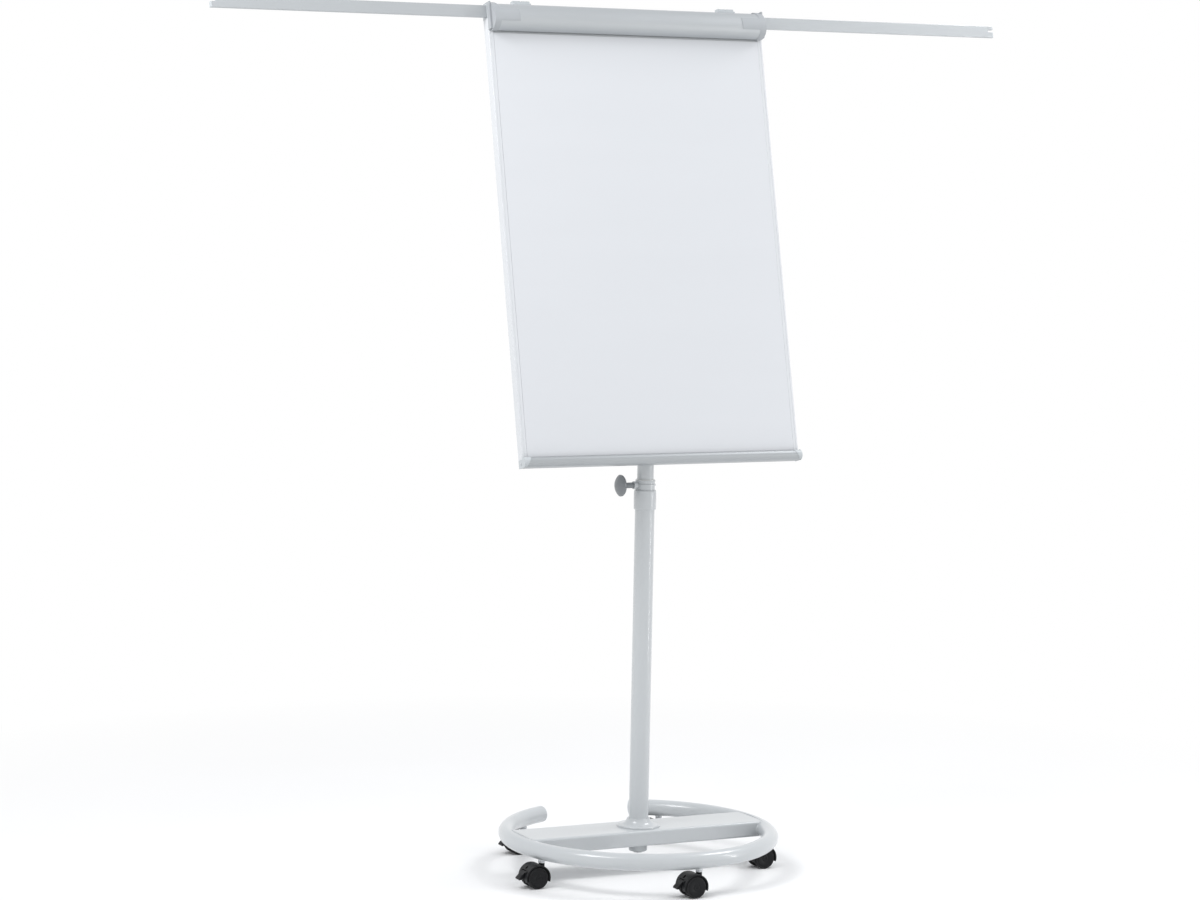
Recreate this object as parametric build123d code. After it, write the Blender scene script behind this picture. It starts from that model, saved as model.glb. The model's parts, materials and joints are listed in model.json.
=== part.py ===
from build123d import *
import os
from math import cos, radians, sin, sqrt, tan

# Mobile flipchart easel: a C-shaped ring base on five castors, a telescopic
# round column and a tilted whiteboard with a clamp bar, pad hooks, pen tray
# and two pull-out side arms. Millimetres, +Z up, the board faces -Y. The
# origin is on the floor, on the axis of the column.

os.makedirs("parts", exist_ok=True)

# ---- driving dimensions: base -------------------------------------------
ring_radius = 304.0
ring_tube_radius = 19.0
ring_wall = 2.0
ring_gap_half_angle = 22.5
floor_clearance = 62.0
ring_height = floor_clearance + ring_tube_radius
plug_depth = 16.0
plug_dome = 4.0
crossbar_width = 120.0
crossbar_depth = 36.0
crossbar_wall = 2.5
crossbar_top = ring_height + ring_tube_radius
crossbar_half_length = 295.0
flange_radius = 50.0
flange_rim = 5.0
flange_height = 18.0

# ---- driving dimensions: column -----------------------------------------
post_radius = 22.5
tube_radius = 19.0
tube_wall = 2.0
post_top = 878.0
sleeve_bottom = 835.0
sleeve_top = 880.0
sleeve_radius = 25.5
neck_top = 903.0
neck_radius = 22.0
bush_radius = 20.2
knob_height = 891.0
knob_radius = 25.0
tube_bottom = 330.0
slide_gap = 0.05
bolt_radius = 6.0
washer_radius = 21.5
washer_height = 22.0
bend_radius = 150.0

# ---- driving dimensions: board, in the tilted frame of the board ---------
# x runs to the right, y runs into the board from its front face, z runs up
# along the board from its bottom edge.
tilt = 13.2
board_front = -88.0
board_bottom = 966.0
board_width = 700.0
board_height = 1037.0
rail_bottom = 1002.0
half_width = board_width / 2
frame_depth = 25.0
frame_lip = 12.0
bottom_lip = 5.0
rail_lip = 970.0
lip_gap = 0.3
frame_box = 20.0
frame_wall = 1.6
sheet_front = 1.0
sheet_back = 12.0
standoff = 12.0
tube_depth = frame_depth + standoff + tube_radius
tube_top_s = 962.0
bracket_heights = (205.0, 830.0)

# ---- driving dimensions: clamp bar, hooks and arms -----------------------
bar_centre = 1004.0
bar_half_height = 30.5
bar_droop = 7.0
bar_depth = 30.0
bar_wall = 2.0
bar_back = -4.5
bar_half_length = 346.0
cap_length = 62.0
hinge_pin_radius = 2.5
hinge_z = bar_centre + 27.5
hinge_y = -8.2
hook_spacing = 262.0
hook_width = 43.0
hook_pin_radius = 4.0
rail_wall = 1.8
rail_cap = 4.0
lane_depth = 9.9
lane_gap = 1.6
arm_centre = (rail_bottom + board_height) / 2
arm_height = 28.0
arm_thickness = 7.6
arm_length = 690.0
arm_reach = 1004.0
arm_wall = 1.2

# ---- driving dimensions: pen tray ----------------------------------------
tray_depth = 15.0
tray_rise = 5.0
tray_drop = 18.0
tray_wall = 2.0
tray_cap = 1.5
tray_screw_places = (-280.0, -95.0, 95.0, 280.0)

# ---- driving dimensions: castors -----------------------------------------
castor_angles = [-90.0 + 72.0 * k for k in range(5)]
wheel_radius = 25.0
wheel_width = 16.5
web_half = 6.0
wheel_gap = 0.7
trail = 17.0
hood_inner = 26.4
hood_outer = 29.6
hood_half_width = web_half + wheel_gap + wheel_width
stem_radius = 4.0
socket_radius = 8.0
thread_radius = 5.0
axle_radius = 3.0
pedal_x = -42.0
pedal_z = 38.0
pedal_half_width = 10.0


# ---- helpers --------------------------------------------------------------
def rod(radius, start, end):
    """A round bar between two points."""
    start = Vector(*start)
    run = Vector(*end) - start
    return Plane(start, z_dir=run) * Cylinder(
        radius, run.length, align=(Align.CENTER, Align.CENTER, Align.MIN)
    )


def block(x, y, z):
    """A box from three (low, high) pairs."""
    size = [pair[1] - pair[0] for pair in (x, y, z)]
    corner = Pos(x[0], y[0], z[0])
    return corner * Box(*size, align=(Align.MIN, Align.MIN, Align.MIN))


def turned(points):
    """A solid of revolution about Z from a closed outline of (radius, height)."""
    outline = make_face(Polyline([(r, 0, z) for r, z in points], close=True))
    return revolve(outline, Axis.Z)


def extruded_x(face, x_low, x_high):
    """A profile drawn in the YZ plane, run along X between two values."""
    return Pos(x_low, 0, 0) * extrude(face, x_high - x_low, dir=(1, 0, 0))


def outline_xy(points):
    """A face in the XY plane from a closed outline of (x, y)."""
    return make_face(Polyline([(x, y, 0) for x, y in points], close=True))


def outline_xz(points):
    """A face in the XZ plane from a closed outline of (x, z)."""
    return make_face(Polyline([(x, 0, z) for x, z in points], close=True))


def mirrored_x(shape):
    """The same shape on the other side of the object's middle plane."""
    return mirror(shape, Plane.YZ)


board_place = Pos(0, board_front, board_bottom) * Rot(-tilt, 0, 0)


# ---- base ------------------------------------------------------------------
def ring_arc(section_radius):
    """The C-shaped ring as a solid bar of the given section."""
    section = Plane.XZ * Pos(ring_radius, ring_height) * Circle(section_radius)
    arc = revolve(section, Axis.Z, 360 - 2 * ring_gap_half_angle)
    return Rot(0, 0, 90 + ring_gap_half_angle) * arc


def castor_places():
    """Where the five castor stems stand on the ring."""
    for angle in castor_angles:
        x = ring_radius * cos(radians(angle))
        y = ring_radius * sin(radians(angle))
        yield Pos(x, y, 0)


def ring_tube():
    ring = ring_arc(ring_tube_radius) - ring_arc(ring_tube_radius - ring_wall)
    for place in castor_places():
        ring -= place * rod(socket_radius, (0, 0, 50), (0, 0, ring_height - 6))
    return ring


def ring_plug():
    """A push-in plug with a shallow dome, made along Z with its rim at zero."""
    shank = Pos(0, 0, -plug_depth) * Cylinder(
        ring_tube_radius - ring_wall - 0.5, plug_depth, align=(Align.CENTER, Align.CENTER, Align.MIN)
    )
    dome_radius = (ring_tube_radius ** 2 + plug_dome ** 2) / (2 * plug_dome)
    dome = Pos(0, 0, plug_dome - dome_radius) * Sphere(dome_radius)
    dome &= block((-30, 30), (-30, 30), (0, 20))
    return shank + dome


def ring_plugs():
    plugs = []
    for side in (1, -1):
        angle = 90 - side * ring_gap_half_angle
        x = ring_radius * cos(radians(angle))
        y = ring_radius * sin(radians(angle))
        outward = Vector(-side * sin(radians(angle)), side * cos(radians(angle)), 0)
        plugs.append(Plane((x, y, ring_height), z_dir=outward) * ring_plug())
    return Compound(plugs)


def castor_sockets():
    """Threaded sockets welded into the underside of the ring."""
    socket = rod(socket_radius, (0, 0, floor_clearance - 3), (0, 0, ring_height - 7))
    socket -= rod(thread_radius, (0, 0, 0), (0, 0, ring_height - 10))
    return Compound([place * socket for place in castor_places()])


def castor_stems():
    """Stems with a threaded top, a hexagonal shoulder and a plain lower pin."""
    thread = rod(thread_radius, (0, 0, floor_clearance - 3), (0, 0, ring_height - 12))
    shoulder_bottom = floor_clearance - 6.5
    shoulder = Pos(0, 0, shoulder_bottom) * extrude(RegularPolygon(8.5, 6), 3.5)
    pin = rod(stem_radius, (0, 0, 36), (0, 0, shoulder_bottom))
    stem = thread + shoulder + pin
    return Compound([place * stem for place in castor_places()])


def crossbar():
    half = crossbar_half_length
    low = crossbar_top - crossbar_depth
    edge = crossbar_width / 2
    bar = block((-half, half), (-edge, edge), (low, crossbar_top))
    bar = fillet(bar.edges().filter_by(Axis.X), 5)
    wall = crossbar_wall
    hollow = block(
        (-half, half), (wall - edge, edge - wall), (low + wall, crossbar_top - wall)
    )
    hollow = fillet(hollow.edges().filter_by(Axis.X), 5 - wall)
    bar = bar - hollow
    bar -= rod(bolt_radius + 0.5, (0, 0, low - 5), (0, 0, crossbar_top + 5))
    full_ring = Pos(0, 0, ring_height) * Torus(ring_radius, ring_tube_radius)
    return bar - full_ring


def base_flange():
    """A cast foot that flares from the column down to a thick rim."""
    low = crossbar_top
    bore = post_radius
    rim = flange_radius - 4
    throat = bore + 4
    profile = Polyline([
        (rim, low + flange_rim), (flange_radius - 1, low + flange_rim - 1),
        (flange_radius, low + flange_rim - 2.5), (flange_radius, low), (bore, low),
        (bore, low + flange_height), (throat, low + flange_height),
    ])
    sag = 1 - sqrt(0.5)
    middle = (throat + (rim - throat) * sag, low + flange_rim + (flange_height - flange_rim) * sag)
    flare = ThreePointArc((throat, low + flange_height), middle, (rim, low + flange_rim))
    face = Plane.XZ * make_face([profile, flare])
    return revolve(face, Axis.Z)


# ---- column ----------------------------------------------------------------
def post_tube():
    outer = rod(post_radius, (0, 0, crossbar_top), (0, 0, post_top))
    return outer - rod(post_radius - tube_wall, (0, 0, 0), (0, 0, post_top + 1))


def post_foot():
    """A threaded plug pressed into the bottom of the post."""
    foot = rod(post_radius - tube_wall, (0, 0, crossbar_top), (0, 0, crossbar_top + 32))
    return foot - rod(bolt_radius, (0, 0, 0), (0, 0, crossbar_top + 28))


def post_bolt():
    """The bolt that holds the post, with a deep cup washer under the crossbar."""
    low = crossbar_top - crossbar_depth
    seat = low - washer_height
    hole = bolt_radius + 0.5
    washer = turned([
        (hole, seat), (washer_radius - 2, seat), (washer_radius, seat + 2), (washer_radius, low),
        (hole, low),
    ])
    head = Pos(0, 0, seat - 4) * extrude(RegularPolygon(11, 6), 4)
    bolt = head + rod(bolt_radius, (0, 0, seat), (0, 0, crossbar_top + 26))
    return Compound([bolt, washer])


def clamp_collar():
    """A sleeve over the post that narrows to a ribbed neck around the inner tube."""
    collar = turned([
        (post_radius, sleeve_bottom),
        (sleeve_radius - 0.8, sleeve_bottom),
        (sleeve_radius, sleeve_bottom + 2),
        (sleeve_radius + 0.4, (sleeve_bottom + sleeve_top) / 2),
        (sleeve_radius, sleeve_top - 3),
        (sleeve_radius - 1.5, sleeve_top),
        (neck_radius, sleeve_top),
        (neck_radius, knob_height - 1),
        (neck_radius + 2.2, knob_height - 1),
        (neck_radius + 2.2, knob_height + 2.5),
        (neck_radius, knob_height + 2.5),
        (neck_radius, neck_top - 4),
        (neck_radius + 1, neck_top - 4),
        (neck_radius + 1, neck_top - 1),
        (neck_radius, neck_top),
        (bush_radius, neck_top),
        (bush_radius, post_top),
        (post_radius, post_top),
    ])
    boss = rod(9, (-bush_radius - 1, 0, knob_height), (-31, 0, knob_height))
    boss -= rod(bush_radius, (0, 0, 860), (0, 0, 920))
    collar += boss
    collar -= rod(4.05, (-40, 0, knob_height), (0, 0, knob_height))
    collar -= rod(3, (0, post_radius - 1, 857), (0, sleeve_radius + 5, 857))
    return collar


def collar_screw():
    """A grub screw that locks the collar to the post."""
    screw = rod(3, (0, post_radius + 0.2, 857), (0, sleeve_radius + 0.2, 857))
    socket = Plane((0, sleeve_radius - 1.6, 857), z_dir=(0, 1, 0)) * extrude(RegularPolygon(1.6, 6), 4)
    return screw - socket


def collar_bush():
    bush = turned([
        (tube_radius + slide_gap, post_top),
        (bush_radius, post_top),
        (bush_radius, neck_top),
        (bush_radius + 0.9, neck_top),
        (bush_radius + 0.9, neck_top + 1.4),
        (tube_radius + slide_gap, neck_top + 1.4),
    ])
    return bush - rod(4.3, (-40, 0, knob_height), (0, 0, knob_height))


def clamp_knob():
    """A domed disc on a slim hub, turned about X, with shallow grips round its rim."""
    face = 75.0
    back = 57.0
    hub_end = 31.5
    hub_radius = 6.5
    outline = Polyline([
        (0, face), (0, hub_end), (hub_radius, hub_end), (hub_radius, back - 3),
        (hub_radius + 3, back), (knob_radius - 3, back + 1), (knob_radius - 0.6, back + 3.5),
        (knob_radius, back + 7),
    ])
    rise = face - back - 7
    dome_radius = (knob_radius ** 2 + rise ** 2) / (2 * rise)
    side = knob_radius / 2
    crown = face - dome_radius + sqrt(dome_radius ** 2 - side ** 2)
    dome = ThreePointArc((knob_radius, back + 7), (side, crown), (0, face))
    knob = revolve(Plane.XZ * make_face([outline, dome]), Axis.Z)
    grips = []
    for k in range(12):
        x = (knob_radius + 2.6) * cos(radians(30.0 * k))
        y = (knob_radius + 2.6) * sin(radians(30.0 * k))
        grips.append(rod(3.6, (x, y, back - 5), (x, y, face + 5)))
    knob = knob - grips
    knob -= rod(4, (0, 0, 0), (0, 0, back + 8))
    return Pos(0, 0, knob_height) * Rot(0, -90, 0) * knob


def knob_screw():
    return rod(4, (-65, 0, knob_height), (-tube_radius - 0.3, 0, knob_height))


def tube_glide():
    """A plastic glide that rides in the post and carries the inner tube's end."""
    disc = rod(post_radius - tube_wall - slide_gap, (0, 0, tube_bottom - 14), (0, 0, tube_bottom - 0.3))
    spigot = rod(tube_radius - tube_wall - slide_gap, (0, 0, tube_bottom - 1), (0, 0, tube_bottom + 30))
    return disc + spigot


def board_point(y, z):
    """A point of the board's frame in the middle plane, in the object's frame."""
    turn = radians(tilt)
    out_y = board_front + y * cos(turn) + z * sin(turn)
    out_z = board_bottom - y * sin(turn) + z * cos(turn)
    return Vector(0, out_y, out_z)


def tube_path():
    """Up the column, one bend back by the tilt, then along the board's back."""
    turn = radians(tilt)
    meet_s = (-board_front - tube_depth * cos(turn)) / sin(turn)
    corner = board_point(tube_depth, meet_s)
    reach = bend_radius * tan(turn / 2)
    along = Vector(0, sin(turn), cos(turn))
    start = Vector(0, 0, tube_bottom)
    bend_in = Vector(0, 0, corner.Z - reach)
    bend_out = corner + along * reach
    end = board_point(tube_depth, tube_top_s)
    lower = Line(start, bend_in)
    bend = TangentArc(bend_in, bend_out, tangent=(0, 0, 1))
    upper = Line(bend_out, end)
    return Wire([lower, bend, upper])


def inner_tube():
    path = tube_path()
    section = Plane((0, 0, tube_bottom), z_dir=(0, 0, 1)) * Circle(tube_radius)
    bore = Plane((0, 0, tube_bottom), z_dir=(0, 0, 1)) * Circle(tube_radius - tube_wall)
    return sweep(section, path=path) - sweep(bore, path=path)


def tube_cap():
    """A push-in cap on the tube's upper end, in the board's frame."""
    cap = rod(tube_radius - tube_wall, (0, tube_depth, tube_top_s - 15), (0, tube_depth, tube_top_s))
    return cap + rod(tube_radius, (0, tube_depth, tube_top_s), (0, tube_depth, tube_top_s + 3))


# ---- board, made in its own frame -------------------------------------------
def tube_bracket(height):
    """A cast saddle that holds the tube at a fixed distance behind the board."""
    half = 25.0
    wide = 62.0
    saddle = outline_xy([
        (-wide, frame_depth), (wide, frame_depth), (wide, frame_depth + 5),
        (34, frame_depth + standoff), (34, tube_depth), (-34, tube_depth),
        (-34, frame_depth + standoff), (-wide, frame_depth + 5),
    ])
    solid = Pos(0, 0, height - half) * extrude(saddle, 2 * half, dir=(0, 0, 1))
    solid -= rod(tube_radius, (0, tube_depth, height - half - 5), (0, tube_depth, height + half + 5))
    for x, z in bracket_screw_places(height):
        solid -= rod(2.5, (x, 0, z), (x, 60, z))
    for x in (-27, 27):
        solid -= rod(3, (x, tube_depth - 12, height), (x, tube_depth + 5, height))
    return solid


def bracket_screw_places(height):
    for x in (-50, 50):
        for z in (height - 15, height + 15):
            yield x, z


def tube_strap(height):
    """A half-round strap that pulls the tube into its saddle."""
    half = 10.0
    outer = tube_radius + 3
    strap = rod(outer, (0, tube_depth, height - half), (0, tube_depth, height + half))
    strap &= block((-40, 40), (tube_depth + 0.2, tube_depth + 40), (height - half, height + half))
    strap += block((-34, 34), (tube_depth + 0.2, tube_depth + 3.2), (height - half, height + half))
    strap -= rod(tube_radius, (0, tube_depth, height - half - 5), (0, tube_depth, height + half + 5))
    for x in (-27, 27):
        strap -= rod(3, (x, tube_depth - 5, height), (x, tube_depth + 5, height))
    return strap


def board_screws():
    """Screws through the brackets and straps, and through the top of the tray."""
    screws = []
    for x in tray_screw_places:
        screws.append(rod(1.8, (x, 8, -2), (x, 8, frame_wall)) + rod(3.6, (x, 8, -4.4), (x, 8, -2)))
    for height in bracket_heights:
        for x, z in bracket_screw_places(height):
            top = frame_depth + 5 + (standoff - 5) * (62 - 50) / (62 - 34)
            shank = rod(2.5, (x, sheet_back, z), (x, top + 1.5, z))
            head = rod(5, (x, top + 1.5, z), (x, top + 4.5, z))
            screws.append(shank + head)
        for x in (-27, 27):
            shank = rod(3, (x, tube_depth - 12, height), (x, tube_depth + 3.2, height))
            head = rod(4.7, (x, tube_depth + 3.2, height), (x, tube_depth + 6.4, height))
            screws.append(shank + head)
    return Compound(screws)


def board_spreader(height):
    """A flat rail across the back between the side frames that carries a bracket."""
    reach = half_width - frame_box
    rail = block((-reach, reach), (sheet_back + 2, frame_depth), (height - 30, height + 30))
    hollow = block((-reach, reach), (sheet_back + 3.5, frame_depth - 1.5), (height - 28, height + 28))
    rail = rail - hollow
    for x, z in bracket_screw_places(height):
        rail -= rod(2.5, (x, 0, z), (x, 60, z))
    return rail


def sheet(front, back):
    """One layer of the writing board between the frame profiles."""
    edge = half_width - frame_wall
    return block((-edge, edge), (front, back), (frame_wall, rail_bottom))


def board_panel():
    """The writing sheet: flush with the frame, its edges set back under the lips."""
    edge = half_width - frame_lip - lip_gap
    field = block((-edge, edge), (0, sheet_front), (bottom_lip + lip_gap, rail_lip - lip_gap))
    return field + sheet(sheet_front, sheet_front + 0.8)


def frame_profile():
    """The frame's section: x from the outer edge inwards, y from the front backwards."""
    lip = sheet_front
    web = sheet_back
    outer = outline_xy([
        (0, 1.5), (0.5, 0.5), (1.5, 0), (5, 0), (5, 0.4), (5.8, 0.4), (5.8, 0),
        (frame_lip - 0.5, 0), (frame_lip, 0.5), (frame_lip, lip), (frame_wall, lip),
        (frame_wall, web), (frame_lip, web), (frame_lip, web + 2), (frame_box, web + 2),
        (frame_box, frame_depth - 1), (frame_box - 1, frame_depth), (2.5, frame_depth),
        (0.7, frame_depth - 0.7), (0, frame_depth - 2.5),
    ])
    wall = frame_wall
    chamber = outline_xy([
        (wall, web + wall), (frame_lip - wall, web + wall),
        (frame_lip - wall, web + 2 + wall), (frame_box - wall, web + 2 + wall),
        (frame_box - wall, frame_depth - wall), (wall + 1, frame_depth - wall),
        (wall, frame_depth - wall - 1),
    ])
    return outer - chamber


def frame_left():
    return Pos(-half_width, 0, 0) * extrude(frame_profile(), rail_bottom, dir=(0, 0, 1))


def frame_bottom():
    """The same profile between the side profiles, along the bottom edge."""
    reach = half_width - frame_box
    frame = extrude(frame_profile(), 2 * reach, dir=(0, 0, 1))
    frame = Rot(0, -90, 0) * Pos(0, 0, -reach) * frame
    frame -= block((-reach, reach), (-1, sheet_front), (bottom_lip, frame_lip + 1))
    for x in tray_screw_places:
        frame -= rod(1.8, (x, 8, -1), (x, 8, frame_wall))
    return frame


# ---- pen tray ------------------------------------------------------------------
tray_nose_radius = (tray_rise + tray_drop) / 2
tray_nose_y = -tray_depth + tray_nose_radius
tray_nose_z = tray_rise - tray_nose_radius
tray_back = 20.0
tray_slot = 9.5


def tray_nose(radius, x_low, x_high):
    """A round bar along the tray's rounded front."""
    return rod(radius, (x_low, tray_nose_y, tray_nose_z), (x_high, tray_nose_y, tray_nose_z))


def pen_tray():
    """A half-round channel that rises in front of the frame, with a pen slot along its top."""
    reach = half_width
    past = reach + 1
    wall = tray_wall
    front = block((-past, past), (-50, -0.3), (-50, 50))
    body = tray_nose(tray_nose_radius, -reach, reach) & front
    body += block((-reach, reach), (tray_nose_y, tray_back), (-tray_drop, 0))
    body -= tray_nose(tray_nose_radius - wall, -past, past)
    body -= block((-past, past), (tray_nose_y, tray_back - wall), (wall - tray_drop, -wall))
    body -= block((-past, past), (-tray_slot, 0), (tray_nose_z, 10))
    for x in tray_screw_places:
        body -= rod(1.8, (x, 8, -10), (x, 8, 10))
    return body


def tray_cap_left():
    """An end cap that plugs into the channel and wraps round its nose."""
    inner = -half_width
    outer = inner - tray_cap
    skin = tray_nose_radius + 0.9
    front = block((outer - 1, inner + 30), (-50, -0.3), (-50, 50))
    plate = tray_nose(skin, outer, inner) & front
    plate += block((outer, inner), (tray_nose_y, tray_back), (-tray_drop - 0.9, -0.3))
    wrap = tray_nose(skin, inner, inner + 24) - tray_nose(tray_nose_radius, inner, inner + 24)
    wrap &= block((inner, inner + 24), (-100, -tray_slot), (-50, 50))
    slant = Plane((inner + 14, 0, 0), z_dir=(1, 0, -0.55)) * block((-50, 50), (-100, 100), (0, 60))
    play = 0.2
    plug = tray_nose(tray_nose_radius - tray_wall - play, inner, inner + 9)
    plug &= block((inner, inner + 10), (-50, tray_back - 5), (-50, tray_nose_z + 3))
    plug += block((inner, inner + 9), (tray_nose_y, tray_back - tray_wall - play),
                  (tray_wall + play - tray_drop, -tray_wall - play))
    plug -= block((inner, inner + 10), (-tray_slot - 1, 1), (tray_nose_z + 3, 10))
    return plate + (wrap - slant) + plug


# ---- clamp bar, hooks and arms ---------------------------------------------------
def bar_section(inset):
    """A D-shaped section that bulges forward from the board, fullest below its middle."""
    depth = bar_depth - inset
    nose = bar_centre - bar_droop
    quarters = []
    for side in (1, -1):
        height = bar_half_height + side * bar_droop - inset
        oval = Plane.YZ * Pos(bar_back, nose) * Ellipse(depth, height)
        keep = Plane.YZ * Pos(bar_back - 50, nose + side * 50) * Rectangle(100, 100)
        quarters.append(oval & keep)
    return quarters[0] + quarters[1]


def clamp_bar():
    """The pad clamp: a D-shaped aluminium shell, open towards the board."""
    reach = bar_half_length - 6
    bar = extruded_x(bar_section(0), -reach, reach)
    bar -= extruded_x(bar_section(bar_wall), -reach - 1, reach + 1)
    lip_low = bar_centre - bar_half_height
    lip = block((-reach, reach), (bar_back - 5, bar_back), (lip_low + 1.6, lip_low + 3.6))
    return bar + lip


def bar_grip():
    """A soft strip along the bar's lower lip that holds the paper."""
    low = bar_centre - bar_half_height
    reach = half_width - frame_lip - 4
    return block((-reach, reach), (bar_back, -0.4), (low + 0.6, low + 4.2))


def bar_cap_left():
    """An end cap with a wall, a wrap over the bar's nose and a hinge knuckle."""
    end = -bar_half_length
    inner = end + 6
    wall = extruded_x(bar_section(-0.8), end, inner)
    rim = extruded_x(bar_section(-0.8), inner, inner + 9)
    wrap = extruded_x(bar_section(-0.8), inner, end + cap_length)
    wrap &= block((-400, 0), (-100, bar_back - 6), (bar_centre - 14, bar_centre + 14))
    skin = rim + wrap
    skin -= extruded_x(bar_section(0), inner - 1, end + cap_length + 1)
    knuckle = rod(5, (end, hinge_y, hinge_z), (inner + 9, hinge_y, hinge_z))
    knuckle -= extruded_x(bar_section(0), inner, inner + 20)
    cap = wall + skin + knuckle
    return cap - rod(hinge_pin_radius + 0.05, (end - 5, hinge_y, hinge_z), (inner - 2, hinge_y, hinge_z))


def hinge_lug_left():
    """A side plate beside the bar's end, fixed to the top rail, with the bar's hinge pin."""
    outer = -half_width
    inner = outer + 3.6
    lug = block((outer, inner), (-14, -0.1), (bar_centre - 28, board_height + 2))
    lug += block((outer, outer + frame_box), (-2.5, 18), (board_height, board_height + 2))
    return lug + rod(hinge_pin_radius, (outer, hinge_y, hinge_z), (outer + 8, hinge_y, hinge_z))


def hook_left():
    """A slider on the frame's top edge with a thumb tab and a forward pin."""
    left = -hook_spacing - hook_width / 2
    right = -hook_spacing + hook_width / 2
    plate = block((left, right), (-2.8, -0.3), (bar_centre - 14, board_height + 2.8))
    top = block((left, right), (-2.8, 16), (board_height + 0.3, board_height + 2.8))
    tab = block((left, right), (4, 16), (board_height + 2.8, board_height + 9.5))
    tab = fillet(tab.edges().filter_by(Axis.Y).group_by(Axis.Z)[-1], 1.2)
    tab -= block((-hook_spacing - 1.5, -hook_spacing + 1.5), (0, 7), (board_height + 6.5, board_height + 20))
    pin = rod(hook_pin_radius, (-hook_spacing, -1, bar_centre - 4), (-hook_spacing, -20, bar_centre - 4))
    return plate + top + tab + pin


def lane(number):
    """The (low, high) depth of an arm's lane in the top rail."""
    low = rail_wall + number * (lane_depth + lane_gap)
    return low, low + lane_depth


def arm_middle(number):
    return sum(lane(number)) / 2


def top_rail():
    """The top frame profile, with a lane for each side arm and a lip over the sheet."""
    reach = half_width - rail_cap
    rail = block((-reach, reach), (0, frame_depth), (rail_bottom, board_height))
    edge = half_width - frame_lip - lip_gap
    rail += block((-edge, edge), (0, sheet_front - 0.05), (rail_lip, rail_bottom))
    for number in (0, 1):
        rail -= block((-half_width, half_width), lane(number),
                      (rail_bottom + rail_wall, board_height - rail_wall))
    return rail


def rail_end_cap(number, side):
    """An end cap on the top rail with a slot for the arm that comes out on its side."""
    inner = side * (half_width - rail_cap)
    outer = side * half_width
    ends = (min(inner, outer), max(inner, outer))
    cap = block(ends, (0, frame_depth), (rail_bottom, board_height))
    cap = fillet(cap.edges().filter_by(Axis.Z), 1)
    middle = arm_middle(number)
    thick = arm_thickness / 2 + 0.4
    tall = arm_height / 2 + 0.4
    return cap - block((ends[0] - 1, ends[1] + 1), (middle - thick, middle + thick),
                       (arm_centre - tall, arm_centre + tall))


def arm(number, side):
    """A flat hollow rail that slides out of the top rail on one side."""
    middle = arm_middle(number)
    height = arm_centre
    tip = side * (arm_reach - 4)
    root = side * (arm_reach - arm_length)
    low, high = min(tip, root), max(tip, root)
    half = arm_height / 2
    thick = arm_thickness / 2
    rail = block((low, high), (middle - thick, middle + thick), (height - half, height + half))
    rail = fillet(rail.edges().filter_by(Axis.X), 1.5)
    rail -= block((low - 1, high + 1), (middle - thick + arm_wall, middle + thick - arm_wall),
                  (height - half + arm_wall, height + half - arm_wall))
    slot_end = side * (arm_reach - 13)
    slot_low, slot_high = min(slot_end, tip), max(slot_end, tip)
    return rail - block((slot_low - 1, slot_high + 1), (middle - 10, middle + 10),
                        (height - 0.7, height + 5.7))


def arm_tip(number, side):
    """A plastic end plug with an open slot."""
    middle = arm_middle(number)
    height = arm_centre
    half = arm_height / 2
    thick = arm_thickness / 2
    wall = arm_wall
    outer = side * arm_reach
    face = side * (arm_reach - 4)
    inner = side * (arm_reach - 26)
    head = block((min(face, outer), max(face, outer)), (middle - thick, middle + thick),
                 (height - half, height + half))
    head = fillet(head.edges().filter_by(Axis.X), 1.5)
    tongue = block((min(inner, face), max(inner, face)), (middle - thick + wall, middle + thick - wall),
                   (height - half + wall, height + half - wall))
    slot_end = side * (arm_reach - 13)
    slot_low, slot_high = min(slot_end, outer), max(slot_end, outer)
    return head + tongue - block((slot_low - 0.1, slot_high + 0.1), (middle - 10, middle + 10),
                                 (height - 0.7, height + 5.7))


def arm_stop(number, side):
    """A plastic runner at the arm's inner end that stops against the rail's end cap."""
    middle = arm_middle(number)
    height = arm_centre
    end = side * (arm_reach - arm_length)
    reach = side * (arm_reach - arm_length - 3)
    inside = side * (arm_reach - arm_length + 24)
    runner_high = (board_height - rail_bottom) / 2 - rail_wall - 0.35
    runner_thick = lane_depth / 2 - 0.35
    head = block((min(end, reach), max(end, reach)), (middle - runner_thick, middle + runner_thick),
                 (height - runner_high, height + runner_high))
    wall = arm_wall
    half = arm_height / 2 - wall
    thick = arm_thickness / 2 - wall
    tongue = block((min(end, inside), max(end, inside)), (middle - thick, middle + thick),
                   (height - half, height + half))
    return head + tongue


# ---- castors, made about their stem at the origin ------------------------------
def y_rod(radius, x, z, half):
    return rod(radius, (x, -half, z), (x, half, z))


def wheel_arc(radius, degrees):
    """A point at that radius and angle about the wheel axis, seen from the side."""
    return -trail + radius * cos(radians(degrees)), wheel_radius + radius * sin(radians(degrees))


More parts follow.
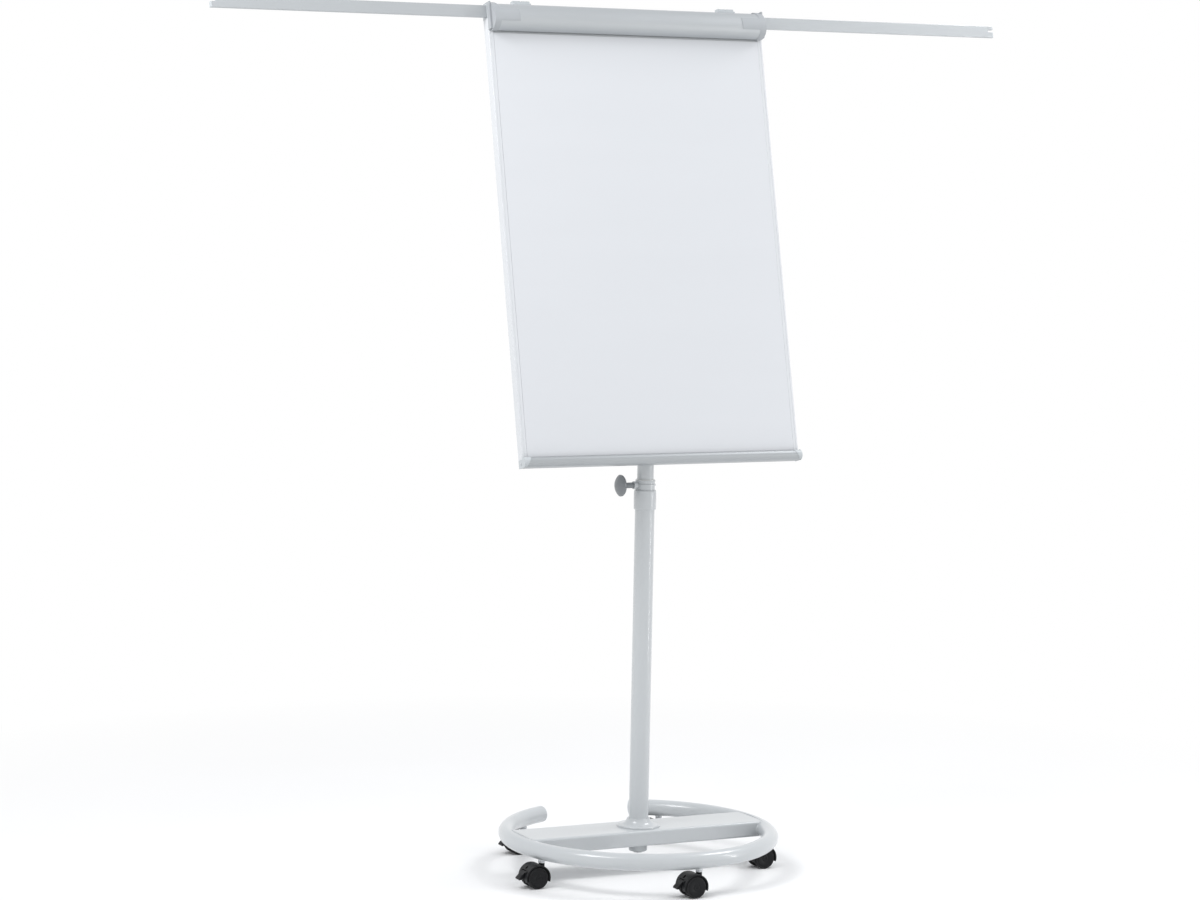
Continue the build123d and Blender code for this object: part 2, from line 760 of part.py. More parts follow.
def castor_hood():
    """The curved shell over both wheels, with a slot and an opening for the brake lever."""
    rim = y_rod(hood_outer, -trail, wheel_radius, hood_half_width)
    rim -= y_rod(hood_inner, -trail, wheel_radius, 60)
    outside = outline_xz([(-trail, wheel_radius), wheel_arc(90, -18), wheel_arc(90, -60),
                          wheel_arc(90, -120), wheel_arc(90, 196)])
    rim -= Pos(0, 60, 0) * extrude(outside, 120, dir=(0, -1, 0))
    window = outline_xz([wheel_arc(20, 144), wheel_arc(40, 144), wheel_arc(48, 170), wheel_arc(40, 198),
                         wheel_arc(20, 198)])
    reach = pedal_half_width + 0.6
    rim -= Pos(0, reach, 0) * extrude(window, 2 * reach, dir=(0, -1, 0))
    slot = outline_xz([wheel_arc(20, 122), wheel_arc(36, 124), wheel_arc(36, 138), wheel_arc(20, 140)])
    return rim - Pos(0, 3, 0) * extrude(slot, 6, dir=(0, -1, 0))


def castor_housing():
    """A central web with a hood over both wheels and a boss for the stem."""
    web = y_rod(hood_inner + 0.6, -trail, wheel_radius, web_half)
    web -= block((-100, 100), (-60, 60), (-10, 14))
    window = outline_xz([wheel_arc(22, 140), wheel_arc(48, 140), wheel_arc(48, 205), wheel_arc(22, 205)])
    web -= Pos(0, 60, 0) * extrude(window, 120, dir=(0, -1, 0))
    boss = rod(6.8, (0, 0, 36), (0, 0, 54.9))
    ears = y_rod(3.4, pedal_x, pedal_z, 15.5) - y_rod(10, pedal_x, pedal_z, pedal_half_width + 0.6)
    wheels = y_rod(wheel_radius + 0.9, -trail, wheel_radius, 60)
    wheels -= block((-100, 100), (-web_half, web_half), (0, 100))
    housing = web + castor_hood() + ((boss + ears) - wheels)
    housing -= rod(stem_radius + 0.05, (0, 0, 34), (0, 0, 60))
    housing -= y_rod(axle_radius + 0.05, -trail, wheel_radius, 60)
    housing -= y_rod(1.55, pedal_x, pedal_z, 13.8)
    return housing


def castor_wheels():
    """Two wheels with rounded treads, dished outside, and the axle that joins them."""
    inner = web_half + wheel_gap
    outer = inner + wheel_width
    section = [
        (axle_radius, inner), (7, inner), (8, inner + 1), (wheel_radius - 1.5, inner + 1),
        (wheel_radius, inner + 2.5), (wheel_radius, outer - 3.5), (wheel_radius - 1, outer - 1.2),
        (wheel_radius - 3, outer), (wheel_radius - 4.5, outer - 0.6), (wheel_radius - 6, outer - 2.2),
        (8, outer - 1.4), (6, outer), (axle_radius, outer),
    ]
    wheel = turned(section)
    near = Pos(-trail, 0, wheel_radius) * Rot(90, 0, 0) * wheel
    far = mirror(near, Plane.XZ)
    axle = y_rod(axle_radius, -trail, wheel_radius, outer - 3)
    return Compound([near, far, axle])


def castor_pedal():
    """A brake lever hinged in the hood's opening, with a foot pad behind the wheels."""
    lever = outline_xz([
        (pedal_x + 1.2, pedal_z + 2.4), (pedal_x - 2.2, pedal_z + 1.8), (pedal_x - 9, pedal_z - 4.2),
        (-59, 25.6), (-60, 23), (-58.4, 21.4), (-55, 22.4), (-49, 27), (pedal_x - 3.6, pedal_z - 3.8),
        (pedal_x - 1.6, pedal_z - 2),
    ])
    half = pedal_half_width
    lever = Pos(0, half, 0) * extrude(lever, 2 * half, dir=(0, -1, 0))
    trunnion = y_rod(1.5, pedal_x, pedal_z, 13.5)
    return lever + trunnion


# ---- all nodes -------------------------------------------------------------------
def tilted(shape):
    return board_place * shape


def all_nodes():
    yield "ring_tube", ring_tube()
    yield "ring_plugs", ring_plugs()
    yield "castor_sockets", castor_sockets()
    yield "castor_stems", castor_stems()
    yield "crossbar", crossbar()
    yield "base_flange", base_flange()
    yield "post_tube", post_tube()
    yield "post_foot", post_foot()
    yield "post_bolt", post_bolt()
    yield "clamp_collar", clamp_collar()
    yield "collar_screw", collar_screw()
    yield "collar_bush", collar_bush()
    yield "clamp_knob", clamp_knob()
    yield "knob_screw", knob_screw()
    yield "tube_glide", tube_glide()
    yield "inner_tube", inner_tube()
    yield "tube_cap", tilted(tube_cap())
    yield "tube_brackets", tilted(Compound([tube_bracket(height) for height in bracket_heights]))
    yield "tube_straps", tilted(Compound([tube_strap(height) for height in bracket_heights]))
    yield "board_spreaders", tilted(Compound([board_spreader(height) for height in bracket_heights]))
    yield "board_screws", tilted(board_screws())
    yield "board_panel", tilted(board_panel())
    yield "board_core", tilted(sheet(sheet_front + 0.8, sheet_back - 0.6))
    yield "board_backing", tilted(sheet(sheet_back - 0.6, sheet_back))
    yield "frame_left", tilted(frame_left())
    yield "frame_right", tilted(mirrored_x(frame_left()))
    yield "frame_bottom", tilted(frame_bottom())
    yield "pen_tray", tilted(pen_tray())
    yield "tray_caps", tilted(Compound([tray_cap_left(), mirrored_x(tray_cap_left())]))
    yield "clamp_bar", tilted(clamp_bar())
    yield "bar_grip", tilted(bar_grip())
    yield "bar_cap_left", tilted(bar_cap_left())
    yield "bar_cap_right", tilted(mirrored_x(bar_cap_left()))
    yield "hinge_lugs", tilted(Compound([hinge_lug_left(), mirrored_x(hinge_lug_left())]))
    yield "hook_left", tilted(hook_left())
    yield "hook_right", tilted(mirrored_x(hook_left()))
    yield "top_rail", tilted(top_rail())
    yield "rail_caps", tilted(Compound([rail_end_cap(0, -1), rail_end_cap(1, 1)]))
    for name, number, side in (("left", 0, -1), ("right", 1, 1)):
        yield f"arm_{name}", tilted(arm(number, side))
        yield f"arm_tip_{name}", tilted(arm_tip(number, side))
        yield f"arm_stop_{name}", tilted(arm_stop(number, side))
    for k, place in enumerate(castor_places(), start=1):
        yield f"castor_{k}_housing", place * castor_housing()
        yield f"castor_{k}_wheels", place * castor_wheels()
        yield f"castor_{k}_pedal", place * castor_pedal()


def main():
    for node, shape in all_nodes():
        export_step(shape, f"parts/{node}.step")


if __name__ == "__main__":
    main()
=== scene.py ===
import json
from math import cos, pi, radians, sin, sqrt

import bmesh
import bpy
from mathutils import Matrix, Vector, noise


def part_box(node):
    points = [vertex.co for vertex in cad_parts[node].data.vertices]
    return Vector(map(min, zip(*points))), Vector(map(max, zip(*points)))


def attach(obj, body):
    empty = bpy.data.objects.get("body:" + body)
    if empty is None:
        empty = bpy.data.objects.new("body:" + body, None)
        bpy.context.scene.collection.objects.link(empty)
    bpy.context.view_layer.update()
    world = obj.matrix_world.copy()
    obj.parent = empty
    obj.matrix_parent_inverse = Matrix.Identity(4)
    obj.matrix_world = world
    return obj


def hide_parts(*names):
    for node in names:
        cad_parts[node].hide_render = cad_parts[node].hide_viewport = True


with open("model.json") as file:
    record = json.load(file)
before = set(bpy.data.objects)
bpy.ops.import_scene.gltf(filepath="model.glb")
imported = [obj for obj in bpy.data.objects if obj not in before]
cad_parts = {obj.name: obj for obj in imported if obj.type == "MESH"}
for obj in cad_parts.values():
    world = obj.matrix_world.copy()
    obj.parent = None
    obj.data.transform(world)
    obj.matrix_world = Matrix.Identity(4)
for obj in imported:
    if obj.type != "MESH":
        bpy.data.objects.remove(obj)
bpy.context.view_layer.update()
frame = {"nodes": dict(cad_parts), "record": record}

# Mobile flipchart easel. Everything is in metres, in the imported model's own
# frame: +Z up, the board faces -Y, the origin on the floor under the column.

# ---- the board's own frame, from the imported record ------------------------
record = frame["record"]
face = next(m for m in record["mounts"] if m["name"] == "writing_face")
X = Vector((1, 0, 0))
board_in = -Vector(face["axis"]).normalized()
board_up = X.cross(board_in)
face_height = 0.5  # of the mount above the board's lower edge
board_corner = Vector(face["pos_m"]) - face_height * board_up
board_frame = Matrix((X, board_in, board_up)).transposed().to_4x4()
board_frame.translation = board_corner


# ---- materials --------------------------------------------------------------
class Finish:
    """A Principled material, with short calls for the texture nodes that it uses."""

    def __init__(self, name, roughness=0.4, metallic=0.0, coat=0.0, specular=0.5):
        self.material = bpy.data.materials.new(name)
        self.material.use_nodes = True
        self.tree = self.material.node_tree
        self.shader = self.tree.nodes["Principled BSDF"]
        self.shader.inputs["Roughness"].default_value = roughness
        self.shader.inputs["Metallic"].default_value = metallic
        self.shader.inputs["Coat Weight"].default_value = coat
        self.shader.inputs["Coat Roughness"].default_value = 0.12
        self.shader.inputs["Specular IOR Level"].default_value = specular
        self.place = self.tree.nodes.new("ShaderNodeTexCoord").outputs["Object"]

    def link(self, value, socket):
        self.tree.links.new(value, socket)

    def stretched(self, scale, turn=0.0):
        """Object coordinates turned about X, then scaled on each axis."""
        mapping = self.tree.nodes.new("ShaderNodeMapping")
        mapping.vector_type = "TEXTURE"
        mapping.inputs["Rotation"].default_value = (turn, 0, 0)
        mapping.inputs["Scale"].default_value = [1 / s for s in scale]
        self.link(self.place, mapping.inputs["Vector"])
        return mapping.outputs["Vector"]

    def noise(self, scale, detail=3.0, roughness=0.5, vector=None):
        texture = self.tree.nodes.new("ShaderNodeTexNoise")
        texture.inputs["Scale"].default_value = scale
        texture.inputs["Detail"].default_value = detail
        texture.inputs["Roughness"].default_value = roughness
        self.link(vector or self.place, texture.inputs["Vector"])
        return texture.outputs["Fac"]

    def cells(self, scale):
        texture = self.tree.nodes.new("ShaderNodeTexVoronoi")
        texture.inputs["Scale"].default_value = scale
        self.link(self.place, texture.inputs["Vector"])
        return texture.outputs["Color"]

    def spread(self, value, low, high, start=0.3, end=0.7):
        """Maps the middle of a texture's range to low..high."""
        node = self.tree.nodes.new("ShaderNodeMapRange")
        node.inputs["From Min"].default_value = start
        node.inputs["From Max"].default_value = end
        node.inputs["To Min"].default_value = low
        node.inputs["To Max"].default_value = high
        self.link(value, node.inputs["Value"])
        return node.outputs["Result"]

    def tint(self, value, first, second, start=0.3, end=0.7):
        """Colours a texture from first to second."""
        ramp = self.tree.nodes.new("ShaderNodeValToRGB")
        ramp.color_ramp.elements[0].position = start
        ramp.color_ramp.elements[1].position = end
        ramp.color_ramp.elements[0].color = (*first, 1)
        ramp.color_ramp.elements[1].color = (*second, 1)
        self.link(value, ramp.inputs["Fac"])
        return ramp.outputs["Color"]

    def blend(self, share, first, second):
        """Mixes two colour outputs in a fixed share."""
        mix = self.tree.nodes.new("ShaderNodeMix")
        mix.data_type = "RGBA"
        factor, first_colour, second_colour = (mix.inputs[k] for k in (0, 6, 7))
        factor.default_value = share
        self.link(first, first_colour)
        self.link(second, second_colour)
        return mix.outputs[2]

    def colour(self, value):
        self.link(value, self.shader.inputs["Base Color"])

    def gloss(self, value):
        self.link(value, self.shader.inputs["Roughness"])

    def relief(self, height, distance, strength):
        bump = self.tree.nodes.new("ShaderNodeBump")
        bump.inputs["Strength"].default_value = strength
        bump.inputs["Distance"].default_value = distance
        self.link(height, bump.inputs["Height"])
        self.link(bump.outputs["Normal"], self.shader.inputs["Normal"])


def shade(colour, factor):
    return tuple(c * factor for c in colour)


def powder_coat(name, colour):
    """Satin powder coat: orange peel, a faint speckle and slow changes of tone."""
    finish = Finish(name, roughness=0.3, coat=0.5)
    slow = finish.tint(finish.noise(3, 1), shade(colour, 0.985), shade(colour, 1.015), 0.0, 1.0)
    speckle = finish.tint(finish.noise(2600, 1), shade(colour, 0.96), shade(colour, 1.04), 0.0, 1.0)
    finish.colour(finish.blend(0.3, slow, speckle))
    finish.gloss(finish.spread(finish.noise(900, 1), 0.26, 0.31, 0.0, 1.0))
    finish.relief(finish.noise(650, 1), 0.000004, 0.3)
    return finish.material


def lacquered_steel(name, colour):
    """Glossy dry-wipe lacquer: nearly flat, with faint wiped streaks."""
    finish = Finish(name, roughness=0.3)
    wiped = finish.noise(3, 2, 0.4, finish.stretched((1, 6, 6), radians(20)))
    finish.colour(finish.tint(wiped, shade(colour, 0.99), shade(colour, 1.01), 0.0, 1.0))
    finish.gloss(finish.spread(finish.noise(3, 1, 0.4), 0.28, 0.32, 0.0, 1.0))
    finish.relief(finish.noise(900, 1), 0.000001, 0.1)
    return finish.material


def anodised(name, colour, along, turn=0.0, metallic=0.55):
    """Satin anodised aluminium with fine drawing lines along the profile."""
    finish = Finish(name, roughness=0.4, metallic=metallic)
    lines = [1.0 if axis == along else 90.0 for axis in "xyz"]
    drawn = finish.noise(22, 4, 0.6, finish.stretched(lines, turn))
    fine = finish.noise(55, 3, 0.6, finish.stretched([0.6 * s for s in lines], turn))
    cloudy = finish.tint(finish.noise(5, 4), shade(colour, 0.97), shade(colour, 1.02))
    streaks = finish.tint(drawn, shade(colour, 0.93), shade(colour, 1.05))
    finish.colour(finish.blend(0.5, cloudy, streaks))
    finish.gloss(finish.spread(fine, 0.34, 0.50))
    finish.relief(drawn, 0.00003, 0.5)
    return finish.material


def moulded(name, colour, roughness=0.42, grain=2300, specular=0.5):
    """Moulded plastic with spark-eroded grain and slight sheen changes."""
    finish = Finish(name, roughness=roughness, specular=specular)
    finish.colour(finish.tint(finish.noise(38, 2), shade(colour, 0.96), shade(colour, 1.04), 0.0, 1.0))
    finish.gloss(finish.spread(finish.noise(300, 2), roughness - 0.04, roughness + 0.04, 0.0, 1.0))
    finish.relief(finish.noise(grain, 2, 0.6), 0.00001, 0.4)
    return finish.material


def tread_rubber(name, colour):
    """Castor tread: matt, with pale floor dust rubbed into it."""
    finish = Finish(name, roughness=0.62, specular=0.25)
    dust = finish.tint(finish.noise(130, 6, 0.65), colour, shade(colour, 2.6), 0.45, 0.72)
    finish.colour(dust)
    finish.gloss(finish.spread(finish.noise(160, 4), 0.5, 0.75))
    finish.relief(finish.noise(1500, 3, 0.6), 0.00008, 0.6)
    return finish.material


def galvanised(name, colour):
    """Zinc-plated steel with a faint spangle."""
    finish = Finish(name, roughness=0.36, metallic=0.9)
    spangle = finish.tint(finish.cells(130), shade(colour, 0.9), shade(colour, 1.06), 0.2, 0.8)
    cloudy = finish.tint(finish.noise(60, 4), shade(colour, 0.94), shade(colour, 1.03))
    finish.colour(finish.blend(0.4, cloudy, spangle))
    finish.gloss(finish.spread(finish.noise(200, 4), 0.28, 0.46))
    finish.relief(finish.noise(900, 3), 0.00002, 0.4)
    return finish.material


def fibreboard(name, colour):
    """Pressed wood fibre, as on the cut edges of the core."""
    finish = Finish(name, roughness=0.85)
    fibres = finish.noise(260, 5, 0.7, finish.stretched((1, 1, 4)))
    finish.colour(finish.tint(fibres, shade(colour, 0.72), shade(colour, 1.15)))
    finish.gloss(finish.spread(fibres, 0.78, 0.92))
    finish.relief(fibres, 0.0002, 0.6)
    return finish.material


tilt = board_in.angle(Vector((0, 1, 0)))
paint_grey = (0.485, 0.508, 0.524)
alu_grey = (0.465, 0.488, 0.505)
materials = {
    "grey_powder": powder_coat("grey_powder", paint_grey),
    "white_lacquer": lacquered_steel("white_lacquer", (0.61, 0.628, 0.657)),
    "silver_anodised": anodised("silver_anodised", alu_grey, "x"),
    # Painted light: a lighter, less metallic copy of the silver anodised finish for the uprights,
    # standing in for the light they catch from the left.
    "silver_upright_painted_light": anodised("silver_upright_painted_light", (0.62, 0.64, 0.665), "z", -tilt, 0.08),
    # Painted shade: a darker copy of the same anodised finish for the pen tray, standing in for the
    # shade on its front and underside.
    "silver_tray_painted_shade": anodised("silver_tray_painted_shade", shade(alu_grey, 0.86), "x"),
    "board_core": fibreboard("board_core", (0.42, 0.30, 0.19)),
    "galvanised": galvanised("galvanised", (0.56, 0.58, 0.60)),
    "grey_plastic": moulded("grey_plastic", (0.20, 0.213, 0.226)),
    "light_plastic": moulded("light_plastic", (0.47, 0.50, 0.52)),
    "black_plastic": moulded("black_plastic", (0.007, 0.0075, 0.0085), 0.4, specular=0.2),
    "white_plastic": moulded("white_plastic", (0.70, 0.70, 0.68), 0.38),
    "soft_strip": moulded("soft_strip", (0.05, 0.05, 0.055), 0.7, 1200),
    "cap_plastic": moulded("cap_plastic", (0.36, 0.38, 0.40)),
    "castor_tyre": tread_rubber("castor_tyre", (0.011, 0.011, 0.012)),
}
slots = {row["node"]: row["material_slot"] for row in record["subparts"]}
# Nodes whose finish differs from their slot's own material. The uprights and the pen tray are the same
# anodised aluminium, made lighter on the uprights as painted light and darker on the tray as painted
# shade.
special = {
    "frame_left": "silver_upright_painted_light", "frame_right": "silver_upright_painted_light", "bar_cap_left": "cap_plastic",
    "bar_cap_right": "cap_plastic", "hinge_lugs": "cap_plastic", "hook_left": "light_plastic",
    "hook_right": "light_plastic", "pen_tray": "silver_tray_painted_shade",
}


def finish_for(node):
    return materials[special.get(node, slots[node])]


# Width of the eased edges, by the start of the node's name.
bevels = {
    "hook": 0.0006, "hinge_lugs": 0.0002, "tray_caps": 0.0004, "rail_caps": 0.0003, "arm_tip": 0.0003,
    "pen_tray": 0.0003, "frame": 0.0003, "clamp_bar": 0.0002, "bar_cap": 0.0004, "top_rail": 0.0004,
    "tube_brackets": 0.001, "tube_straps": 0.0004, "board_spreaders": 0.0006, "castor": 0.0004,
    "clamp_knob": 0.0005, "post_bolt": 0.0004, "board_screws": 0.0005, "tube_cap": 0.0006,
    "ring_plugs": 0.0004, "base_flange": 0.0004, "clamp_collar": 0.0003,
}


def ease_edges(shown, width):
    """Rounds a node's sharp edges without touching its own mesh."""
    weld = shown.modifiers.new("weld", "WELD")
    weld.merge_threshold = 0.00001
    flat = shown.modifiers.new("flat", "DECIMATE")
    flat.decimate_type = "DISSOLVE"
    flat.angle_limit = radians(0.5)
    bevel = shown.modifiers.new("bevel", "BEVEL")
    bevel.width = width
    bevel.segments = 2
    bevel.limit_method = "ANGLE"
    bevel.angle_limit = radians(38)
    normals = shown.modifiers.new("normals", "WEIGHTED_NORMAL")
    normals.weight = 60


def dress(node):
    """Gives a CAD node its procedural material and eases its sharp edges."""
    shown = frame["nodes"][node]
    shown.data.materials.clear()
    shown.data.materials.append(finish_for(node))
    for start, width in bevels.items():
        if node.startswith(start):
            ease_edges(shown, width)


for node_name in frame["nodes"]:
    dress(node_name)


# ---- finer pieces that ride on the CAD bodies -------------------------------
joints = {row["name"]: row for row in record["behaviour"]["joints"]}
castor_numbers = range(1, 6)


def circle(radius, height, segments):
    """Points round the Z axis."""
    steps = [2 * pi * k / segments for k in range(segments)]
    return [(radius * cos(a), radius * sin(a), height) for a in steps]


def skin(bm, rings, closed=False, capped=True, material=0):
    """Joins rings of points, all of one length, into a smooth surface."""
    rows = [[bm.verts.new(point) for point in ring] for ring in rings]
    pairs = list(zip(rows, rows[1:]))
    if closed:
        pairs.append((rows[-1], rows[0]))
    count = len(rows[0])
    for low, high in pairs:
        for k in range(count):
            wall = bm.faces.new((low[k], low[(k + 1) % count], high[(k + 1) % count], high[k]))
            wall.material_index = material
    if capped and not closed:
        for ring in (rows[0][::-1], rows[-1]):
            bm.faces.new(ring).material_index = material


def swept_rings(points, radii, sides=10, closed=False):
    """Rings of points that follow a path, with a radius for each point."""
    rings = []
    count = len(points)
    for k, point in enumerate(points):
        before = points[(k - 1) % count] if closed else points[max(k - 1, 0)]
        after = points[(k + 1) % count] if closed else points[min(k + 1, count - 1)]
        along = (after - before).normalized()
        across = along.orthogonal() if k == 0 else (across - across.dot(along) * along)
        across.normalize()
        third = along.cross(across)
        steps = [2 * pi * n / sides for n in range(sides)]
        rings.append([point + radii[k] * (cos(a) * across + sin(a) * third) for a in steps])
    return rings


def piece(name, bm, body, finishes, place=None):
    """Turns a bmesh into a piece of the object that moves with a CAD body."""
    bmesh.ops.recalc_face_normals(bm, faces=bm.faces)
    mesh = bpy.data.meshes.new(name)
    bm.to_mesh(mesh)
    bm.free()
    for polygon in mesh.polygons:
        polygon.use_smooth = True
    for finish in finishes:
        mesh.materials.append(materials[finish])
    shown = bpy.data.objects.new(name, mesh)
    bpy.context.scene.collection.objects.link(shown)
    if place is not None:
        shown.matrix_world = place
    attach(shown, body)
    return shown


def rippled(points, radius, pitch, depth, seed):
    """Radii for a weld bead: even ripples with a little unevenness."""
    radii = []
    run = 0.0
    for k, point in enumerate(points):
        run += (point - points[k - 1]).length if k else 0.0
        drift = noise.noise(Vector((180 * run, seed, 0)))
        radii.append(radius * (1 + depth * sin(2 * pi * run / pitch) + 0.16 * drift))
    return radii


def crossbar_weld(side):
    """A bead up one side of the crossbar's end, over its top and down the other side."""
    bead_radius = 0.0016
    ripple_pitch = 0.0023
    ripple_depth = 0.14
    rise_start = -0.011
    rise_length = 0.0275
    rise_steps = 60
    over_steps = 170
    ring_low, ring_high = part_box("ring_tube")
    bar_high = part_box("crossbar")[1]
    tube = (ring_high.z - ring_low.z) / 2
    ring = (ring_high.x - ring_low.x) / 2 - tube
    middle = (ring_high.z + ring_low.z) / 2
    edge = bar_high.y + 0.0002
    rise = []
    for k in range(rise_steps):
        height = middle + rise_start + rise_length * k / (rise_steps - 1)
        reach = ring - sqrt(tube ** 2 - (height - middle) ** 2)
        rise.append(Vector((side * sqrt(reach ** 2 - edge ** 2), edge, height)))
    over = []
    seam = ring - 0.0045
    start = edge / seam
    for k in range(1, over_steps):
        turn = start * (1 - 2 * k / over_steps)
        over.append(Vector((side * seam * cos(turn), seam * sin(turn), bar_high.z - 0.0007)))
    fall = [Vector((point.x, -point.y, point.z)) for point in reversed(rise)]
    points = rise + over + fall
    bm = bmesh.new()
    skin(bm, swept_rings(points, rippled(points, bead_radius, ripple_pitch, ripple_depth, side)))
    name = "crossbar_weld_left" if side < 0 else "crossbar_weld_right"
    piece(name, bm, "base", ["grey_powder"])


def post_weld():
    """The bead between the cast foot and the post."""
    bead_radius = 0.0011
    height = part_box("base_flange")[1].z + 0.0002
    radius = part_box("post_tube")[1].x + 0.0006
    points = [Vector(point) for point in circle(radius, height, 220)]
    turns = [2 * pi * k / 220 for k in range(220)]
    radii = [bead_radius * (1 + 0.13 * sin(52 * a) + 0.08 * sin(7 * a)) for a in turns]
    bm = bmesh.new()
    skin(bm, swept_rings(points, radii, closed=True), closed=True)
    piece("post_weld", bm, "base", ["grey_powder"])


# A castor wheel's half section in millimetres: radius, then reach along the axle.
wheel_inside = [(3.0, 6.7), (7.0, 6.7), (7.9, 7.6), (21.5, 7.8)]
wheel_tyre = [
    (21.5, 7.8), (23.4, 8.0), (24.5, 8.7), (25.0, 10.0),
    (25.0, 12.5), (24.4, 12.8), (24.4, 13.3), (25.0, 13.6),
    (25.0, 16.4), (24.4, 16.7), (24.4, 17.2), (25.0, 17.5),
    (25.0, 19.3), (24.7, 20.7), (23.9, 21.9), (22.6, 22.7), (21.2, 23.0), (20.7, 22.5),
]
wheel_cover = [
    (20.7, 22.5), (20.5, 22.2), (20.3, 22.3), (20.0, 22.9), (19.4, 23.15), (18.4, 23.2),
    (8.4, 23.1), (8.0, 22.8), (7.6, 22.7), (7.2, 22.9), (6.4, 23.15),
    (3.0, 23.2), (2.4, 22.9), (2.2, 22.0), (0.2, 21.9),
]


def wheel_rings(section, side, segments=72):
    """Turns a half section round the axle, which runs along Y."""
    rings = []
    for radius, reach in section:
        ring = circle(radius / 1000, side * reach / 1000, segments)
        rings.append([(x, along, y) for x, y, along in ring])
    return rings


def castor_wheel_pair(number):
    """Twin wheels with grooved tyres and flat covers, on one axle."""
    tyre, cover, axle = range(3)
    centre = joints[f"castor_{number}_roll"]["pos_m"]
    bm = bmesh.new()
    for side in (1, -1):
        skin(bm, wheel_rings(wheel_inside, side), capped=False, material=cover)
        skin(bm, wheel_rings(wheel_tyre, side), capped=False, material=tyre)
        skin(bm, wheel_rings(wheel_cover, side), material=cover)
    skin(bm, wheel_rings([(3, -7.5), (3, 0), (3, 7.5)], 1, 24), material=axle)
    bmesh.ops.remove_doubles(bm, verts=bm.verts, dist=0.000001)
    shown = piece(f"castor_{number}_twin_wheels", bm, f"castor_{number}_wheel_pair",
                  ["castor_tyre", "black_plastic", "galvanised"], Matrix.Translation(centre))
    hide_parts(f"castor_{number}_wheels")


def pedal_ribs(number):
    """Raised grips across the brake lever, between its bend and its tip."""
    bend = Vector((-0.009, 0, -0.0042))
    tip = Vector((-0.017, 0, -0.0124))
    widths = [-0.0078, -0.0075, -0.0068, -0.004, 0, 0.004, 0.0068, 0.0075, 0.0078]
    radii = [0.0002, 0.0004, 0.00055, 0.0006, 0.0006, 0.0006, 0.00055, 0.0004, 0.0002]
    pivot = Vector(joints[f"castor_{number}_brake_press"]["pos_m"])
    bm = bmesh.new()
    for k in range(5):
        middle = bend.lerp(tip, 0.12 + 0.18 * k)
        skin(bm, swept_rings([middle + Vector((0, y, 0)) for y in widths], radii))
    piece(f"castor_{number}_pedal_ribs", bm, f"castor_{number}_brake",
          ["black_plastic"], Matrix.Translation(pivot))


def cross_recess(radius, height, segments=36):
    """A ring of points in the shape of a cross-head recess."""
    points = []
    for k in range(segments):
        turn = 2 * pi * k / segments
        wing = 0.62 if (k % 9) in (0, 1, 8) else 0.24
        points.append((wing * radius * cos(turn), wing * radius * sin(turn), height))
    return points


def screw_heads(name, body, radius, height, places):
    """Pan-head screws with cross recesses; each place is a matrix with Z out of the surface."""
    bm = bmesh.new()
    rings = [
        circle(radius, -0.0004, 36),
        circle(radius, 0.4 * height, 36),
        circle(0.93 * radius, 0.7 * height, 36),
        circle(0.78 * radius, 0.92 * height, 36),
        cross_recess(radius, height),
        cross_recess(0.8 * radius, 0.25 * height),
    ]
    for place in places:
        skin(bm, [[place @ Vector(point) for point in ring] for ring in rings])
    piece(name, bm, body, ["galvanised"])


def on_board(x, y, z, out):
    """A matrix at a point of the board's frame, in metres, with Z along out."""
    facing = out.to_track_quat("Z", "Y").to_matrix().to_4x4()
    return board_frame @ Matrix.Translation((x, y, z)) @ facing


sides = (-1, 1)
for bar_end in sides:
    crossbar_weld(bar_end)
post_weld()
for castor in castor_numbers:
    castor_wheel_pair(castor)
    pedal_ribs(castor)
tray_screws = [on_board(side * 0.3515, 0.006, -0.010, Vector((side, 0, 0))) for side in sides]
screw_heads("tray_cap_screws", "head", 0.0026, 0.0011, tray_screws)
frame_screw_heights = (0.016, 0.34, 0.67, 0.985)
back_screws = [on_board(side * 0.340, 0.025, height, Vector((0, 1, 0)))
               for side in sides for height in frame_screw_heights]
screw_heads("frame_screws", "head", 0.0034, 0.0018, back_screws)


# ---- floor, light and camera ----------------------------------------------
def floor():
    """A pale disc that fades into the white surround far from the object."""
    fade_start, fade_end = 0.7, 2.4
    mesh = bpy.data.meshes.new("floor")
    bm = bmesh.new()
    bmesh.ops.create_circle(bm, cap_ends=True, radius=60, segments=96)
    bm.to_mesh(mesh)
    bm.free()
    disc = bpy.data.objects.new("floor", mesh)
    bpy.context.scene.collection.objects.link(disc)
    finish = Finish("floor_paint", roughness=0.8, specular=0.2)
    finish.colour(finish.tint(finish.noise(1.5, 3), (0.835, 0.838, 0.842), (0.85, 0.853, 0.857)))
    glow = finish.tree.nodes.new("ShaderNodeEmission")
    glow.inputs["Color"].default_value = (1, 1, 1, 1)
    glow.inputs["Strength"].default_value = 1.0
    length = finish.tree.nodes.new("ShaderNodeVectorMath")
    length.operation = "LENGTH"
    finish.link(finish.place, length.inputs[0])
    far = finish.spread(length.outputs["Value"], 0, 1, fade_start, fade_end)
    mixer = finish.tree.nodes.new("ShaderNodeMixShader")
    finish.link(far, mixer.inputs["Fac"])
    finish.link(finish.shader.outputs["BSDF"], mixer.inputs[1])
    finish.link(glow.outputs["Emission"], mixer.inputs[2])
    output = finish.tree.nodes["Material Output"]
    finish.link(mixer.outputs["Shader"], output.inputs["Surface"])
    mesh.materials.append(finish.material)


def area_light(name, place, aim, power, width, height):
    light = bpy.data.lights.new(name, "AREA")
    light.shape = "RECTANGLE"
    light.size = width
    light.size_y = height
    light.energy = power
    lamp = bpy.data.objects.new(name, light)
    bpy.context.scene.collection.objects.link(lamp)
    lamp.location = place
    lamp.rotation_euler = (Vector(aim) - Vector(place)).to_track_quat("-Z", "Y").to_euler()


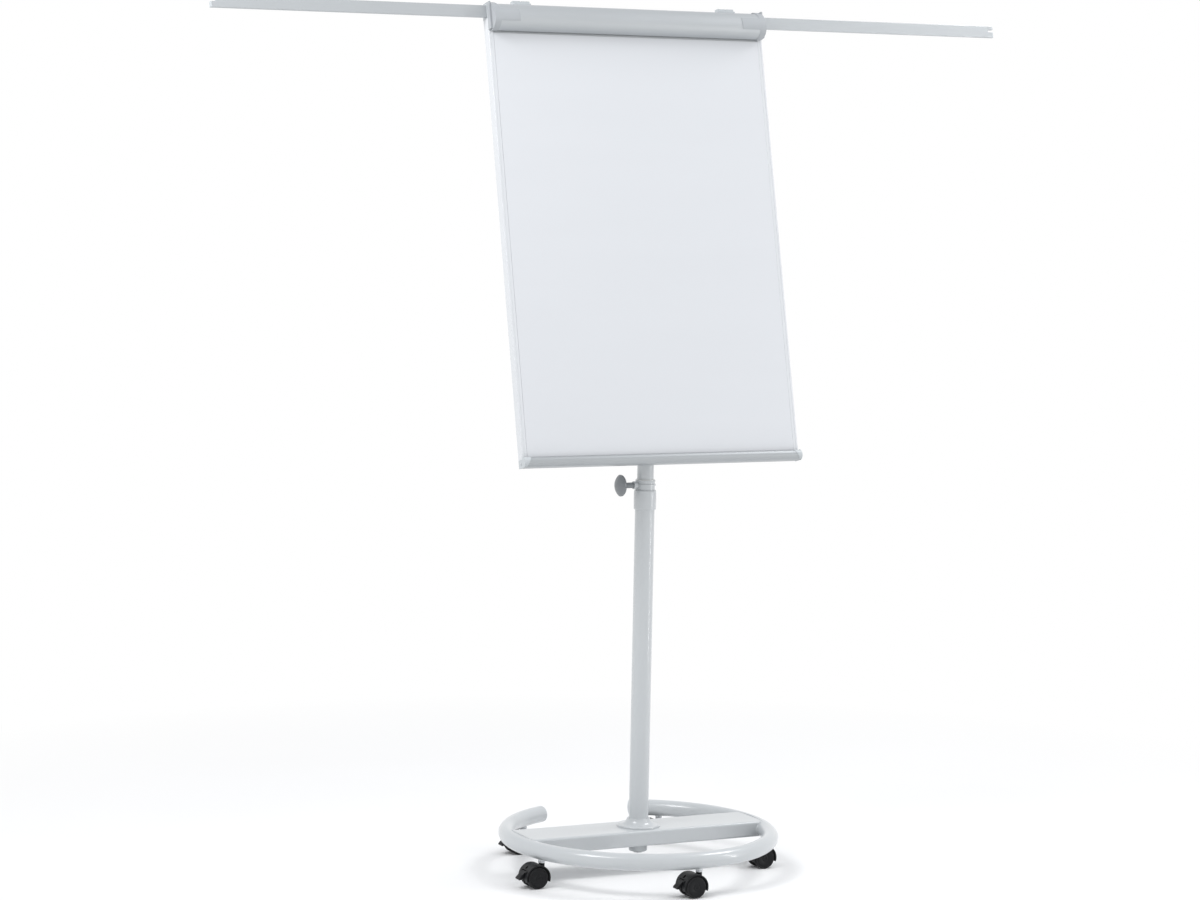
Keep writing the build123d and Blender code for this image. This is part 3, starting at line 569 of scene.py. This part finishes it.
def surround():
    """A plain studio: white near the horizon, softer overhead."""
    world = bpy.data.worlds.new("studio")
    bpy.context.scene.world = world
    world.use_nodes = True
    tree = world.node_tree
    ways = tree.nodes.new("ShaderNodeTexCoord").outputs["Generated"]
    split = tree.nodes.new("ShaderNodeSeparateXYZ")
    tree.links.new(ways, split.inputs["Vector"])
    ramp = tree.nodes.new("ShaderNodeValToRGB")
    ramp.color_ramp.elements[0].position = 0.18
    ramp.color_ramp.elements[0].color = (1, 1, 1, 1)
    ramp.color_ramp.elements[1].position = 0.6
    ramp.color_ramp.elements[1].color = (0.80, 0.81, 0.83, 1)
    tree.links.new(split.outputs["Z"], ramp.inputs["Fac"])
    tree.links.new(ramp.outputs["Color"], tree.nodes["Background"].inputs["Color"])


def camera():
    """A long lens, a little above the easel's middle and to its left."""
    azimuth = radians(26.04)
    elevation = radians(5.31)
    roll = radians(1.09)
    aim = Vector((-0.113, 0.008, 0.973))
    distance = 7.4
    ahead = Vector((sin(azimuth) * cos(elevation), cos(azimuth) * cos(elevation), -sin(elevation)))
    right = Vector((cos(azimuth), -sin(azimuth), 0))
    above = right.cross(ahead)
    turned_right = cos(roll) * right + sin(roll) * above
    turned_up = cos(roll) * above - sin(roll) * right
    data = bpy.data.cameras.new("camera")
    data.lens = 97.7
    data.sensor_width = 36
    view = bpy.data.objects.new("camera", data)
    bpy.context.scene.collection.objects.link(view)
    view.matrix_world = Matrix((turned_right, turned_up, -ahead)).transposed().to_4x4()
    view.location = aim - distance * ahead
    bpy.context.scene.camera = view


bpy.context.scene.view_settings.view_transform = "Standard"
surround()
floor()
area_light("left_box", (-2.2, -0.5, 3.1), (0, 0, 0.4), 37, 1.0, 1.0)
area_light("right_box", (2.2, -0.1, 3.1), (0, 0, 0.4), 32, 1.0, 1.0)
area_light("left_glint", (-1.7, -1.15, 2.9), (0, -0.3, 0.1), 5, 0.22, 0.22)
area_light("right_strip", (2.43, -1.77, 1.0), (0, 0, 0.9), 16, 0.12, 2.2)
camera()
